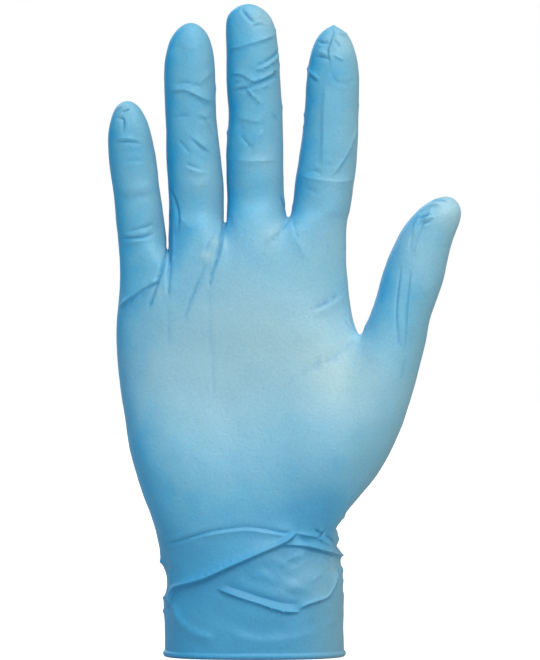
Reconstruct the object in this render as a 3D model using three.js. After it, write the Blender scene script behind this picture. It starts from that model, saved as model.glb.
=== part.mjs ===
// Disposable nitrile examination glove in its worn form: fingers up, palm towards -Y, thumb towards +X.
// It is one seamless dipped film with a rolled bead, so it is one hollow solid, open at the cuff.
// Lengths are millimetres. The origin is the middle of the cuff's mouth, and +Z runs to the fingertips.
import * as THREE from 'three';

// Driving sizes
const wall = 1;
const bead = { diameter: 2.4, outset: 0.3, neck: 1.1 }; // neck: the wall's lower edge, in diameters
const cuff = { length: 44, breadth: 66, depth: 46 };
const palm = { length: 102, breadth: 88, depth: 32 };
const knuckleShift = -7.4;
const fingers = {
  little: { length: 58.4, breadth: 17.7, depth: 15.5, rootRise: 0 },
  ring: { length: 79, breadth: 20.3, depth: 17.5, rootRise: 8 },
  middle: { length: 81.9, breadth: 21.1, depth: 18, rootRise: 12 },
  index: { length: 75.7, breadth: 22.1, depth: 17.5, rootRise: 10 },
};
const webs = [
  { between: 'little and ring', rise: 4, gap: 1.1 },
  { between: 'ring and middle', rise: 14, gap: 1.1 },
  { between: 'middle and index', rise: 16.2, gap: 2.4 },
];
const webDip = 7;
const rootInset = { left: 0.6, right: 1.6 };
const thumb = { reach: 43, rise: 118, breadth: 22, depth: 19, rootRise: 6.5 };

// Cuff sections from the bead up. up is a share of the cuff's length above the bead, left and right
// are shares of half its breadth, front and rear of half its depth.
const cuffRows = [
  { up: 0, left: 1.0, right: 1.0, front: 1.0, rear: 1.0 },
  { up: 0.18, left: 1.0, right: 1.0, front: 1.0, rear: 1.0 },
  { up: 0.395, left: 1.0, right: 1.0, front: 0.99, rear: 0.99 },
  { up: 0.59, left: 0.975, right: 1.0, front: 0.97, rear: 0.97 },
  { up: 0.795, left: 1.035, right: 0.945, front: 0.94, rear: 0.94 },
];

// Hand sections from the wrist up. up is a share of the palm's length, left and right of half its
// breadth, front, rear and edge of half its depth. edge is how far the thumb side lies forward, and
// open is how far the section stays deep there, where the thumb's root runs on.
const palmRows = [
  { up: 0.0, left: 0.818, right: 0.691, front: 1.3, rear: 1.28, edge: 0, open: 0 },
  { up: 0.075, left: 0.866, right: 0.745, front: 1.25, rear: 1.2, edge: 0.1, open: 0.25 },
  { up: 0.29, left: 1.03, right: 0.78, front: 1.18, rear: 1.08, edge: 0.2, open: 0.9 },
  { up: 0.51, left: 1.115, right: 0.81, front: 1.08, rear: 1.0, edge: 0.3, open: 0.9 },
  { up: 0.725, left: 1.16, right: 0.875, front: 1.02, rear: 0.92, edge: 0.3, open: 0.35 },
  { up: 0.865, left: 1.135, right: 0.79, front: 0.97, rear: 0.87, edge: 0.15, open: 0 },
];
const openDepth = { front: 0.92, rear: 0.72 };
const rootDepth = { front: 0.84, rear: 0.78, web: 0.9 };

// Soft swellings and the hollow of the palm's front. across is a share of half the palm's breadth,
// up of its length, radius of its breadth and rise of its depth.
const swellings = [
  { place: 'ball of the thumb', across: 0.62, up: 0.33, radius: 0.26, rise: 0.13 },
  { place: 'heel of the palm', across: -0.72, up: 0.2, radius: 0.28, rise: 0.1 },
  { place: 'hollow of the palm', across: -0.2, up: 0.5, radius: 0.27, rise: -0.1 },
];

// Finger sections from the root up. along is a share of the finger's length, lean and wide are
// shares of its breadth, thick and fore of its depth.
const fingerRows = {
  little: [
    { along: 0.13, lean: 0.005, wide: 1.01, thick: 1.05, fore: 0.0 },
    { along: 0.26, lean: -0.04, wide: 0.995, thick: 1.03, fore: 0.02 },
    { along: 0.4, lean: -0.09, wide: 0.965, thick: 1.0, fore: 0.05 },
    { along: 0.56, lean: -0.167, wide: 0.99, thick: 0.95, fore: 0.11 },
    { along: 0.71, lean: -0.229, wide: 0.958, thick: 0.88, fore: 0.19 },
    { along: 0.83, lean: -0.253, wide: 0.84, thick: 0.8, fore: 0.25 },
    { along: 0.915, lean: -0.272, wide: 0.65, thick: 0.63, fore: 0.29 },
    { along: 0.968, lean: -0.288, wide: 0.42, thick: 0.42, fore: 0.31 },
    { along: 1.0, lean: -0.288, wide: 0, thick: 0, fore: 0.32 },
  ],
  ring: [
    { along: 0.1, lean: 0.0, wide: 1.0, thick: 1.06, fore: 0.0 },
    { along: 0.22, lean: -0.013, wide: 1.01, thick: 1.03, fore: 0.02 },
    { along: 0.36, lean: -0.045, wide: 0.985, thick: 1.0, fore: 0.06 },
    { along: 0.5, lean: -0.085, wide: 0.94, thick: 0.93, fore: 0.12 },
    { along: 0.64, lean: -0.112, wide: 0.925, thick: 0.88, fore: 0.19 },
    { along: 0.78, lean: -0.128, wide: 0.915, thick: 0.83, fore: 0.26 },
    { along: 0.89, lean: -0.12, wide: 0.795, thick: 0.72, fore: 0.31 },
    { along: 0.96, lean: -0.11, wide: 0.52, thick: 0.47, fore: 0.34 },
    { along: 1.0, lean: -0.105, wide: 0, thick: 0, fore: 0.35 },
  ],
  middle: [
    { along: 0.1, lean: 0.005, wide: 1.01, thick: 1.06, fore: 0.0 },
    { along: 0.22, lean: -0.006, wide: 1.0, thick: 1.03, fore: 0.02 },
    { along: 0.35, lean: -0.01, wide: 1.0, thick: 1.0, fore: 0.06 },
    { along: 0.5, lean: -0.002, wide: 0.945, thick: 0.93, fore: 0.12 },
    { along: 0.64, lean: -0.033, wide: 0.94, thick: 0.88, fore: 0.18 },
    { along: 0.78, lean: -0.055, wide: 0.91, thick: 0.83, fore: 0.25 },
    { along: 0.89, lean: -0.09, wide: 0.85, thick: 0.72, fore: 0.3 },
    { along: 0.96, lean: -0.12, wide: 0.63, thick: 0.5, fore: 0.33 },
    { along: 1.0, lean: -0.117, wide: 0, thick: 0, fore: 0.34 },
  ],
  index: [
    { along: 0.1, lean: -0.006, wide: 0.985, thick: 1.06, fore: 0.0 },
    { along: 0.22, lean: 0.052, wide: 0.985, thick: 1.03, fore: 0.02 },
    { along: 0.35, lean: 0.11, wide: 0.985, thick: 1.0, fore: 0.06 },
    { along: 0.5, lean: 0.165, wide: 0.915, thick: 0.94, fore: 0.12 },
    { along: 0.64, lean: 0.188, wide: 0.9, thick: 0.89, fore: 0.18 },
    { along: 0.77, lean: 0.203, wide: 0.855, thick: 0.84, fore: 0.24 },
    { along: 0.88, lean: 0.201, wide: 0.715, thick: 0.72, fore: 0.29 },
    { along: 0.955, lean: 0.197, wide: 0.48, thick: 0.47, fore: 0.32 },
    { along: 1.0, lean: 0.202, wide: 0, thick: 0, fore: 0.33 },
  ],
};

// Thumb sections. across is a share of the thumb's reach, up of its rise, wide of its breadth,
// thick and fore of its depth. turn is the section's angle from upright, in degrees.
const thumbRows = [
  { across: 0.23, up: 0.37, turn: 4.8, wide: 2.49, thick: 1.42, fore: 0.28 },
  { across: 0.373, up: 0.474, turn: 19.3, wide: 1.79, thick: 1.28, fore: 0.32 },
  { across: 0.489, up: 0.62, turn: 35, wide: 1.3, thick: 1.1, fore: 0.33 },
  { across: 0.54, up: 0.698, turn: 48.7, wide: 1.08, thick: 1.03, fore: 0.34 },
  { across: 0.607, up: 0.771, turn: 60.9, wide: 1.02, thick: 0.97, fore: 0.36 },
  { across: 0.674, up: 0.85, turn: 74, wide: 0.91, thick: 0.87, fore: 0.39 },
  { across: 0.752, up: 0.912, turn: 81, wide: 0.835, thick: 0.76, fore: 0.43 },
  { across: 0.832, up: 0.962, turn: 83, wide: 0.67, thick: 0.58, fore: 0.46 },
  { across: 0.885, up: 1.0, turn: 83, wide: 0, thick: 0, fore: 0.48 },
];
const thumbRoot = { firstRow: 1, rows: 3 };

// Folds of the loose cuff. rise is millimetres, above and below are how wide the fold's two sides
// are, and a path's place is a turn about the cuff in degrees (-90 is the front) and a share of its
// length.
const cuffFolds = [
  {
    name: 'long fold across the front',
    rise: 2.1,
    above: 7,
    below: 3.8,
    path: [
      { turn: -57, up: 1.04 },
      { turn: -69, up: 0.945 },
      { turn: -87, up: 0.855 },
      { turn: -108, up: 0.73 },
      { turn: -129, up: 0.625 },
      { turn: -148, up: 0.56 },
      { turn: -168, up: 0.53 },
    ],
  },
  {
    name: 'wrist ridge',
    rise: 1.1,
    above: 4.6,
    below: 4.6,
    path: [
      { turn: -138, up: 0.97 },
      { turn: -97, up: 1.065 },
      { turn: -61, up: 1.03 },
      { turn: -38, up: 1.0 },
    ],
  },
  {
    name: 'thumb side band',
    rise: 1.4,
    above: 5,
    below: 3.6,
    path: [
      { turn: -62, up: 0.92 },
      { turn: -45, up: 0.89 },
      { turn: -10, up: 0.85 },
      { turn: 14, up: 0.83 },
    ],
  },
  {
    name: 'low swag',
    rise: 1.3,
    above: 4,
    below: 4.4,
    path: [
      { turn: -118, up: 0.57 },
      { turn: -99, up: 0.505 },
      { turn: -85, up: 0.45 },
      { turn: -65, up: 0.395 },
      { turn: -49, up: 0.445 },
      { turn: -30, up: 0.57 },
      { turn: -12, up: 0.7 },
    ],
  },
  {
    name: 'rear fold',
    rise: 1.6,
    above: 6,
    below: 4,
    path: [
      { turn: 38, up: 0.98 },
      { turn: 70, up: 0.86 },
      { turn: 104, up: 0.68 },
      { turn: 138, up: 0.6 },
    ],
  },
];

const sideColumn = 0.93;
const sectionPower = 2.35;
const interpolationRounds = 6;
const refinement = { rounds: 2, edge: 2.6 };
const beadSides = 8;

// Folds stay below foldLimit times the cuff's length, and rise over 1 / foldEnds of theirs at each end.
const foldLimit = 1.3;
const foldEnds = 4.5;

// A quad cage: points and faces, with faces turned outwards.
function addPoints(cage, points) {
  return points.map((p) => cage.points.push(p) - 1);
}

// Joins two rings of equal count. skip leaves out the faces between ring places i and i + 1.
function bridge(cage, lower, upper, skip = () => false) {
  lower.forEach((a, i) => {
    if (skip(i)) return;
    const next = (i + 1) % lower.length;
    cage.faces.push([a, lower[next], upper[next], upper[i]]);
  });
}

// The places of a ring around a row of columns: the right side is 0, then the rear points from right
// to left, the left side, and the front points from left to right.
function ringPlaces(columns) {
  return {
    right: 0,
    left: columns + 2,
    rear: (j) => columns + 1 - j,
    front: (j) => columns + 3 + j,
    columns: [...Array(columns + 1).keys()],
  };
}

// Closes a ring with two strips of faces that meet along its middle points.
function cap(cage, ring, columns, middle) {
  const at = ringPlaces(columns);
  const mid = [ring[at.left], ...addPoints(cage, middle), ring[at.right]];
  for (let j = 0; j < columns; j++) {
    cage.faces.push([ring[at.front(j)], ring[at.front(j + 1)], mid[j + 1], mid[j]]);
    cage.faces.push([mid[j], mid[j + 1], ring[at.rear(j + 1)], ring[at.rear(j)]]);
  }
}

const edgeKey = (a, b) => Math.min(a, b) + '/' + Math.max(a, b);

// Each point's edges, faces and neighbours along the open rim.
function neighbourhoods(cage) {
  const edges = new Map();
  const around = cage.points.map(() => ({ edges: new Set(), faces: [], rim: [] }));
  cage.faces.forEach((face, f) => {
    face.forEach((a, i) => {
      const b = face[(i + 1) % face.length];
      const key = edgeKey(a, b);
      if (!edges.has(key)) edges.set(key, { ends: [a, b], faces: [] });
      edges.get(key).faces.push(f);
      around[a].faces.push(f);
      around[a].edges.add(b);
      around[b].edges.add(a);
    });
  });
  for (const { ends, faces } of edges.values()) {
    if (faces.length > 1) continue;
    around[ends[0]].rim.push(ends[1]);
    around[ends[1]].rim.push(ends[0]);
  }
  return { edges, around };
}

function mean(points) {
  const sum = new THREE.Vector3();
  points.forEach((p) => sum.add(p));
  return sum.divideScalar(points.length);
}

// A rim point pulled towards its two neighbours, which keep one share each of the weight.
function rimPoint(cage, i, rim, weight) {
  const [before, after] = rim.map((r) => cage.points[r]);
  const sum = cage.points[i].clone().multiplyScalar(weight).add(before).add(after);
  return sum.divideScalar(weight + 2);
}

// Where each point of the cage ends up on the smooth Catmull-Clark limit surface.
function limitPoints(cage) {
  const { around } = neighbourhoods(cage);
  return cage.points.map((p, i) => {
    const { edges, faces, rim } = around[i];
    if (rim.length) return rimPoint(cage, i, rim, 4);
    const n = faces.length;
    const limit = p.clone().multiplyScalar(n * n);
    for (const e of edges) limit.addScaledVector(cage.points[e], 4);
    for (const f of faces) {
      const face = cage.faces[f];
      limit.add(cage.points[face[(face.indexOf(i) + 2) % 4]]);
    }
    return limit.divideScalar(n * (n + 5));
  });
}

// Moves the cage's points until the smooth surface passes through where they were.
function passThroughPoints(cage) {
  const targets = cage.points.map((p) => p.clone());
  for (let k = 0; k < interpolationRounds; k++) {
    const limits = limitPoints(cage);
    cage.points.forEach((p, i) => p.add(targets[i]).sub(limits[i]));
  }
}

// One Catmull-Clark subdivision. Each new face starts at an old point and has the face point opposite.
function subdivide(cage) {
  const { edges, around } = neighbourhoods(cage);
  const facePoints = cage.faces.map((face) => mean(face.map((i) => cage.points[i])));
  const finer = { points: [], faces: [] };
  cage.points.forEach((p, i) => {
    const { edges: near, faces, rim } = around[i];
    if (rim.length) return finer.points.push(rimPoint(cage, i, rim, 6));
    const n = faces.length;
    const edgeMean = mean([...near].map((e) => mean([p, cage.points[e]])));
    const faceMean = mean(faces.map((f) => facePoints[f]));
    finer.points.push(edgeMean.multiplyScalar(2).add(faceMean).addScaledVector(p, n - 3).divideScalar(n));
  });
  const faceIds = addPoints(finer, facePoints);
  const edgeIds = new Map();
  for (const [key, { ends, faces }] of edges) {
    const middle = mean(ends.map((i) => cage.points[i]));
    const point = faces.length > 1 ? mean([middle, mean(faces.map((f) => facePoints[f]))]) : middle;
    edgeIds.set(key, finer.points.push(point) - 1);
  }
  cage.faces.forEach((face, f) => {
    face.forEach((a, i) => {
      const next = face[(i + 1) % face.length];
      const last = face[(i + face.length - 1) % face.length];
      finer.faces.push([a, edgeIds.get(edgeKey(a, next)), faceIds[f], edgeIds.get(edgeKey(last, a))]);
    });
  });
  return finer;
}

// The fingers' roots side by side, and the webs between them.
const rootHeight = cuff.length + palm.length;
const fingerNames = Object.keys(fingers);
const knuckleBreadth =
  fingerNames.reduce((sum, name) => sum + fingers[name].breadth, 0) + webs.reduce((sum, web) => sum + web.gap, 0);
const roots = [];
let rootEdge = knuckleShift - knuckleBreadth / 2;
fingerNames.forEach((name, k) => {
  const { breadth, rootRise } = fingers[name];
  roots.push({
    left: rootEdge,
    centre: rootEdge + breadth / 2,
    right: rootEdge + breadth,
    height: rootHeight + rootRise,
  });
  rootEdge += breadth + (webs[k]?.gap ?? 0);
});
const webPlaces = webs.map((web, k) => ({
  x: (roots[k].right + roots[k + 1].left) / 2,
  z: rootHeight + web.rise,
}));

// Where the hand's columns cross its sections, from -1 at the left side to 1 at the right: one at
// each finger's middle, one at each web and one at each end.
const handColumns = 2 * fingerNames.length;
const handAt = ringPlaces(handColumns);
const columnPlaces = (() => {
  const last = roots[roots.length - 1];
  const crossings = [roots[0].left];
  roots.forEach((root, k) => crossings.push(root.centre, webPlaces[k]?.x ?? last.right));
  const middle = (roots[0].left + last.right) / 2;
  const half = (last.right - roots[0].left) / 2;
  return crossings.map((x) => ((x - middle) / half) * sideColumn);
})();

// A closed section of the hand or cuff at height z.
function handSection(z, { left, right, front, rear, edge = 0, open = 0 }, size) {
  const [low, high] = [(-left * size.breadth) / 2, (right * size.breadth) / 2];
  const [middle, half] = [(low + high) / 2, (high - low) / 2];
  const depthAt = (place, reach) => {
    const round = (1 - Math.abs(place) ** sectionPower) ** (1 / sectionPower);
    return place > 0 ? round + Math.max(0, reach - round) * open : round;
  };
  const points = [];
  points[handAt.right] = new THREE.Vector3(high, (-edge * size.depth) / 2, z);
  points[handAt.left] = new THREE.Vector3(low, 0, z);
  for (const j of handAt.columns) {
    const place = columnPlaces[j];
    const x = middle + half * place;
    const frontY = (-front * size.depth * depthAt(place, openDepth.front)) / 2;
    const rearY = (rear * size.depth * depthAt(place, openDepth.rear)) / 2;
    points[handAt.front(j)] = new THREE.Vector3(x, frontY, z);
    points[handAt.rear(j)] = new THREE.Vector3(x, rearY, z);
  }
  return points;
}

// The section through the finger roots, which rises to each finger and dips before each web.
function rootSection() {
  const [first, last] = [roots[0], roots[roots.length - 1]];
  const left = (-2 * (first.left + rootInset.left)) / palm.breadth;
  const right = (2 * (last.right - rootInset.right)) / palm.breadth;
  const points = handSection(rootHeight, { left, right, front: rootDepth.front, rear: rootDepth.rear }, palm);
  const heights = [first.height];
  roots.forEach((root, k) => {
    heights.push(root.height, webPlaces[k] ? webPlaces[k].z - webDip : root.height);
  });
  for (const j of handAt.columns) {
    const atWeb = j % 2 === 0 && j > 0 && j < handColumns;
    for (const point of [points[handAt.front(j)], points[handAt.rear(j)]]) {
      point.z = heights[j];
      if (atWeb) point.y *= rootDepth.web;
    }
  }
  points[handAt.left].z = heights[0];
  points[handAt.right].z = heights[handColumns];
  return points;
}

// Presses the palm's swellings and hollow into the front of its cage.
function swell(points) {
  for (const p of points.filter((q) => q.y < 0)) {
    for (const { across, up, radius, rise } of swellings) {
      const dx = p.x - (across * palm.breadth) / 2;
      const dz = p.z - (cuff.length + up * palm.length);
      const spread = (dx * dx + dz * dz) / (radius * palm.breadth) ** 2;
      p.y -= rise * palm.depth * Math.exp(-spread);
    }
  }
}

// Places round an oval between two end points, thick across Y and set forward by fore.
function ovalSection(columns, { left, right, thick, fore }) {
  const count = 2 * columns + 4;
  const centre = mean([left, right]);
  const reach = right.clone().sub(left).divideScalar(2);
  return [...Array(count).keys()].map((i) => {
    const angle = (2 * Math.PI * i) / count;
    const point = centre.clone().addScaledVector(reach, Math.cos(angle));
    point.y += (thick / 2) * Math.sin(angle) - fore;
    return point;
  });
}

function fingerSections(name, root) {
  const finger = fingers[name];
  return fingerRows[name].map((r) => {
    const middle = root.centre + r.lean * finger.breadth;
    const half = (r.wide * finger.breadth) / 2;
    const z = root.height + r.along * finger.length;
    const left = new THREE.Vector3(middle - half, 0, z);
    const right = new THREE.Vector3(middle + half, 0, z);
    return { left, right, thick: r.thick * finger.depth, fore: r.fore * finger.depth };
  });
}

function thumbSections() {
  const baseX = (palmRows[thumbRoot.firstRow].right * palm.breadth) / 2;
  const baseZ = cuff.length + thumb.rootRise;
  return thumbRows.map((r) => {
    const turn = THREE.MathUtils.degToRad(r.turn);
    const half = (r.wide * thumb.breadth) / 2;
    const centre = new THREE.Vector3(baseX + r.across * thumb.reach, 0, baseZ + r.up * thumb.rise);
    const reach = new THREE.Vector3(Math.sin(turn), 0, -Math.cos(turn)).multiplyScalar(half);
    const left = centre.clone().sub(reach);
    const right = centre.clone().add(reach);
    return { left, right, thick: r.thick * thumb.depth, fore: r.fore * thumb.depth };
  });
}

// Grows a stall from a root ring through its sections. The last section is its closed tip.
function growStall(cage, rootRing, columns, sections) {
  let ring = rootRing;
  const tip = sections.pop();
  for (const section of sections) {
    const next = addPoints(cage, ovalSection(columns, section));
    bridge(cage, ring, next);
    ring = next;
  }
  const at = ringPlaces(columns);
  const [left, right] = [cage.points[ring[at.left]], cage.points[ring[at.right]]];
  const top = mean([tip.left, tip.right]);
  top.y -= tip.fore;
  const lift = top.sub(mean([left, right]));
  const inside = [...Array(columns - 1).keys()].map((j) => left.clone().lerp(right, (j + 1) / columns).add(lift));
  cap(cage, ring, columns, inside);
}

function gloveCage() {
  const cage = { points: [], faces: [] };
  const mouthHeight = bead.neck * bead.diameter;
  const cuffRise = cuff.length - mouthHeight;
  const cuffSections = cuffRows.map((r) => handSection(mouthHeight + r.up * cuffRise, r, cuff));
  const palmSections = palmRows.map((r) => handSection(cuff.length + r.up * palm.length, r, palm));
  palmSections.forEach(swell);
  const sections = [...cuffSections, ...palmSections, rootSection()];

  // The thumb's root takes the place of the side points and side faces between its two end rows.
  const firstRow = cuffRows.length + thumbRoot.firstRow;
  const lastRow = firstRow + thumbRoot.rows;
  const rings = sections.map((points, row) => {
    const opened = row > firstRow && row < lastRow;
    return opened ? [null, ...addPoints(cage, points.slice(1))] : addPoints(cage, points);
  });
  const lastPlace = rings[0].length - 1;
  for (let row = 1; row < rings.length; row++) {
    const opened = row > firstRow && row <= lastRow;
    bridge(cage, rings[row - 1], rings[row], (i) => opened && (i === 0 || i === lastPlace));
  }
  const rootRings = rings.slice(firstRow, lastRow + 1);
  const rearColumn = rootRings.map((ring) => ring[handAt.rear(handColumns)]);
  const frontColumn = rootRings.map((ring) => ring[handAt.front(handColumns)]).reverse();
  const thumbRing = [rings[firstRow][handAt.right], ...rearColumn, rings[lastRow][handAt.right], ...frontColumn];
  growStall(cage, thumbRing, thumbRoot.rows, thumbSections());

  // Each finger's root ring runs round two columns of the top section and the webs beside it.
  const top = rings[rings.length - 1];
  const webPoints = addPoints(cage, webPlaces.map((web) => new THREE.Vector3(web.x, 0, web.z)));
  const middles = [top[handAt.left], ...webPoints, top[handAt.right]];
  fingerNames.forEach((name, k) => {
    const columns = [2 * k, 2 * k + 1, 2 * k + 2];
    const front = columns.map((j) => top[handAt.front(j)]);
    const rear = columns.map((j) => top[handAt.rear(j)]).reverse();
    growStall(cage, [middles[k + 1], ...rear, middles[k], ...front], 2, fingerSections(name, roots[k]));
  });
  return cage;
}

function vertexNormals(points, faces) {
  const normals = points.map(() => new THREE.Vector3());
  for (const face of faces) {
    const corners = face.map((i) => points[i]);
    const fan = corners.slice(2).map((corner, i) => {
      const side = corners[i + 1].clone().sub(corners[0]);
      return side.cross(corner.clone().sub(corners[0]));
    });
    fan.forEach((area) => face.forEach((i) => normals[i].add(area)));
  }
  return normals.map((n) => n.normalize());
}

const triangulate = (faces) => faces.flatMap(([a, b, c, d]) => [[a, b, c], [a, c, d]]);

// The rim's points in order round the mouth, against the clock seen from above.
function rimLoop(skin) {
  const { around } = neighbourhoods(skin);
  const start = around.findIndex((a) => a.rim.length);
  const loop = [start, around[start].rim[0]];
  while (loop[loop.length - 1] !== start) {
    const [before, here] = loop.slice(-2);
    loop.push(around[here].rim.find((i) => i !== before));
  }
  loop.pop();
  const [a, b] = [skin.points[loop[0]], skin.points[loop[1]]];
  const clockwise = a.x * b.y - a.y * b.x < 0;
  return clockwise ? loop.reverse() : loop;
}

// A point of a fold's path, as its turn round the cuff and its height in millimetres.
function foldPlace({ turn, up }) {
  const radius = (cuff.breadth + cuff.depth) / 4;
  return new THREE.Vector2(THREE.MathUtils.degToRad(turn) * radius, up * cuff.length);
}

function cuffPlace(p) {
  const radius = (cuff.breadth + cuff.depth) / 4;
  return new THREE.Vector2(Math.atan2(p.y / cuff.depth, p.x / cuff.breadth) * radius, p.z);
}

// How far a fold lifts the film at a place: full on its path, fading to nothing on both sides of it
// and towards both of its ends.
function foldLift(fold, place) {
  const girth = (Math.PI * (cuff.breadth + cuff.depth)) / 2;
  const path = fold.path.map(foldPlace);
  const lengths = path.slice(1).map((p, i) => p.distanceTo(path[i]));
  const total = lengths.reduce((sum, l) => sum + l, 0);
  let best = { distance: Infinity };
  let run = 0;
  lengths.forEach((length, i) => {
    const along = path[i + 1].clone().sub(path[i]).divideScalar(length);
    for (const shift of [-girth, 0, girth]) {
      const offset = place.clone().sub(path[i]);
      offset.x += shift;
      const reach = THREE.MathUtils.clamp(offset.dot(along), 0, length);
      const distance = offset.distanceTo(along.clone().multiplyScalar(reach));
      const isBelow = along.cross(offset) * Math.sign(along.x) < 0;
      if (distance < best.distance) best = { distance, isBelow, share: (run + reach) / total };
    }
    run += length;
  });
  const width = best.isBelow ? fold.below : fold.above;
  const side = Math.max(0, 1 - (best.distance / width) ** 2);
  const end = Math.min(1, foldEnds * Math.min(best.share, 1 - best.share));
  return fold.rise * side * side * end * (2 - end);
}

const liftAt = (p) => {
  const place = cuffPlace(p);
  return Math.max(...cuffFolds.map((fold) => foldLift(fold, place)));
};

// Splits the longer edges near the folds and sets each new point on the curved surface.
function refineNearFolds(points, triangles, isRim) {
  for (let round = 0; round < refinement.rounds; round++) {
    const normals = vertexNormals(points, triangles);
    const halves = new Map();
    const halfOf = (a, b) => halves.get(edgeKey(a, b));
    for (const triangle of triangles) {
      triangle.forEach((a, i) => {
        const b = triangle[(i + 1) % 3];
        const span = points[b].clone().sub(points[a]);
        if (halfOf(a, b) !== undefined || (isRim(a) && isRim(b)) || span.length() < refinement.edge) return;
        const middle = mean([points[a], points[b]]);
        if (middle.z > foldLimit * cuff.length || liftAt(middle) === 0) return;
        middle.addScaledVector(normals[b], span.dot(normals[b]) / 8);
        middle.addScaledVector(normals[a], -span.dot(normals[a]) / 8);
        halves.set(edgeKey(a, b), points.push(middle) - 1);
      });
    }
    triangles = triangles.flatMap((triangle) => splitTriangle(triangle, halfOf));
  }
  return triangles;
}

function splitTriangle([a, b, c], halfOf) {
  const [ab, bc, ca] = [halfOf(a, b), halfOf(b, c), halfOf(c, a)];
  const count = [ab, bc, ca].filter((i) => i !== undefined).length;
  if (count === 0) return [[a, b, c]];
  if (count === 3) return [[a, ab, ca], [ab, b, bc], [ca, bc, c], [ab, bc, ca]];
  const turned = count === 1 ? ab === undefined : ca !== undefined;
  if (turned) return splitTriangle([b, c, a], halfOf);
  return count === 1 ? [[a, ab, c], [ab, b, c]] : [[ab, b, bc], [a, ab, bc], [a, bc, c]];
}

// The rolled bead: the corners of a round section in turn, without the top one, where the wall goes in.
function beadSections(outer, normals) {
  const radius = bead.diameter / 2;
  const centre = bead.outset - wall / 2;
  const step = (2 * Math.PI) / beadSides;
  return [...Array(beadSides - 1).keys()].map((k) => {
    const angle = step * (1 - k);
    const [out, z] = [centre + radius * Math.cos(angle), radius + radius * Math.sin(angle)];
    return outer.map((p, i) => {
      const away = new THREE.Vector3(normals[i].x, normals[i].y, 0).normalize();
      return new THREE.Vector3(p.x, p.y, z).addScaledVector(away, out);
    });
  });
}

function gloveGeometry() {
  const cage = gloveCage();
  passThroughPoints(cage);
  const skin = subdivide(cage);
  const outer = limitPoints(skin);
  const normals = vertexNormals(outer, skin.faces);
  const loop = rimLoop(skin);
  const rim = new Set(loop);
  const inner = outer.map((p, i) => p.clone().addScaledVector(normals[i], -wall));
  loop.forEach((i) => (inner[i].z = outer[i].z));

  // The outer face is folded, and the inner one stays smooth.
  const outerTriangles = refineNearFolds(outer, triangulate(skin.faces), (i) => rim.has(i));
  const foldedNormals = vertexNormals(outer, outerTriangles);
  outer.forEach((p, i) => {
    if (p.z < foldLimit * cuff.length && !rim.has(i)) p.addScaledVector(foldedNormals[i], liftAt(p));
  });
  const innerFaces = skin.faces.map((face) => face.map((i) => i + outer.length));
  const innerTriangles = triangulate(innerFaces.map(([a, b, c, d]) => [a, d, c, b]));

  const points = [...outer, ...inner];
  const rolls = beadSections(loop.map((i) => outer[i]), loop.map((i) => normals[i]));
  const rings = [loop, ...rolls.map((ring) => ring.map((p) => points.push(p) - 1)), loop.map((i) => i + outer.length)];
  const beadTriangles = rings.slice(1).flatMap((ring, k) =>
    ring.flatMap((a, i) => {
      const next = (i + 1) % ring.length;
      return triangulate([[rings[k][i], a, ring[next], rings[k][next]]]);
    }),
  );
  const geometry = new THREE.BufferGeometry();
  const triangles = [...outerTriangles, ...innerTriangles, ...beadTriangles];
  geometry.setAttribute('position', new THREE.Float32BufferAttribute(points.flatMap((p) => p.toArray()), 3));
  geometry.setIndex(triangles.flat());
  geometry.computeVertexNormals();
  return geometry;
}

const nitrile = new THREE.MeshStandardMaterial({ color: 0x63add6, roughness: 0.5, metalness: 0 });
const glove = new THREE.Mesh(gloveGeometry(), nitrile);
glove.name = 'glove';

const group = new THREE.Group();
group.add(glove);
export default group;
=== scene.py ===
import math

import bmesh
import bpy
import numpy as np
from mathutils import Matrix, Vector, noise
from mathutils.bvhtree import BVHTree


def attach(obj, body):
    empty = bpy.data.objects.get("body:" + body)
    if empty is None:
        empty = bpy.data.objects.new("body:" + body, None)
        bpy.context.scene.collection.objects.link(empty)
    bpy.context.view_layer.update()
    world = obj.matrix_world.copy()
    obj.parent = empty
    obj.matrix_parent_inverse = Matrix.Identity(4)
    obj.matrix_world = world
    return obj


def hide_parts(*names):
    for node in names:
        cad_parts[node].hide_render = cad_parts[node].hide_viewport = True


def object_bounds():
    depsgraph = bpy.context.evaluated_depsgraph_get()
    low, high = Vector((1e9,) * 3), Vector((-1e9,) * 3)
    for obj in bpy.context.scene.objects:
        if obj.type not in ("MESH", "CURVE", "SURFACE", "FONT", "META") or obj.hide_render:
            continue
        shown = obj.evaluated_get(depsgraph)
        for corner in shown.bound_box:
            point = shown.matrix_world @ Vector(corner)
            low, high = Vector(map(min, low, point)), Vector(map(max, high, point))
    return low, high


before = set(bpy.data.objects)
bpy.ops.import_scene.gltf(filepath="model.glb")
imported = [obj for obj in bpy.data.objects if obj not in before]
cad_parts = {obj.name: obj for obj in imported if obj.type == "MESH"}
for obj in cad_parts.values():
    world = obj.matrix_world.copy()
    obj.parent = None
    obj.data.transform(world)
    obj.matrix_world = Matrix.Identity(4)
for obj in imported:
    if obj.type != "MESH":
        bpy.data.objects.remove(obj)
cadLow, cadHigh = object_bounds()
mm = 0.001

# The photograph's frame, in its own pixels, and the camera that stands for it
photo = {
    "height": 660,
    "middle": (270, 330),
    "pixelsPerMm": 2.714,
    "cuffMiddle": 254.5,  # the column of the frame's x = 0
    "cuffEnd": 656,  # the row of z = 0
    "distance": 1.8,
    "sensor": 36,
    "clipEnd": 20,
}


def fromPixel(column, row):
    # the point of the plane y = 0 that the photograph shows at this pixel
    scale = mm / photo["pixelsPerMm"]
    return Vector(((column - photo["cuffMiddle"]) * scale, 0, (photo["cuffEnd"] - row) * scale))


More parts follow.
